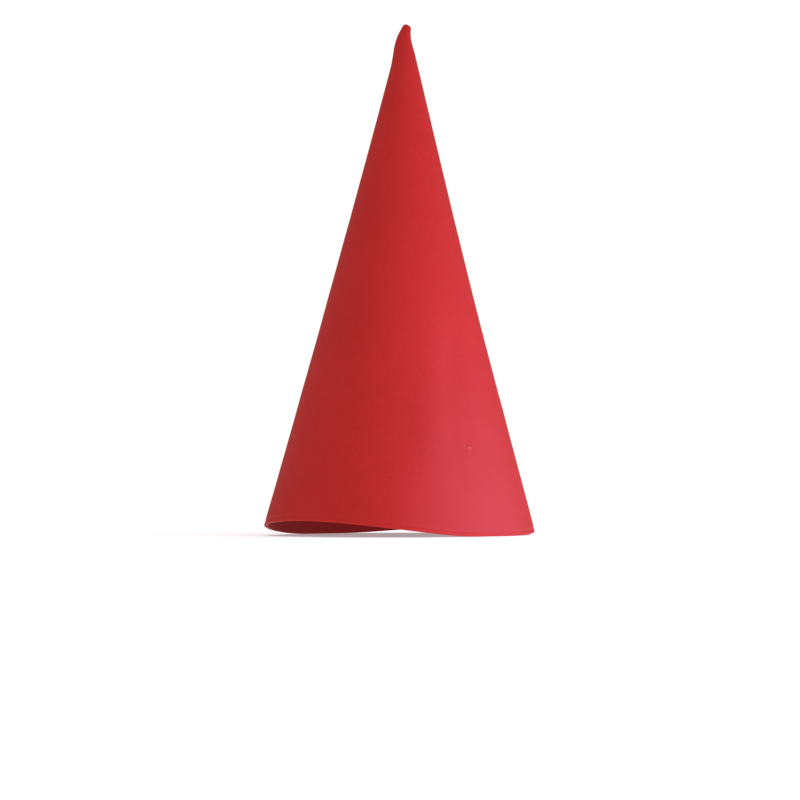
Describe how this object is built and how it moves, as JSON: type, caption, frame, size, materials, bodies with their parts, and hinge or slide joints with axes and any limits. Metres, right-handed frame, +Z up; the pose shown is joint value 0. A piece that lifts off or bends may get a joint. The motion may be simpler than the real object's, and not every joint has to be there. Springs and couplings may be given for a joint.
{
  "type": "gnome hat",
  "caption": "Tall pointed cone hat of one rolled foam sheet, open below, with an oval hem that arches over the face and a blunt curled tip.",
  "frame": {"origin": "middle of the hat's length and width, on the surface that its hem stands on", "axes": "+Z up to the tip, -Y where the wearer's face is, +X the wearer's left"},
  "size_m": [0.19, 0.225, 0.42],
  "materials": {
    "red_foam": "matt red closed-cell foam sheet with a smooth skin and a soft sheen"
  },
  "bodies": {
    "root": {"foam_cone": "red_foam"}
  },
  "joints": []
}
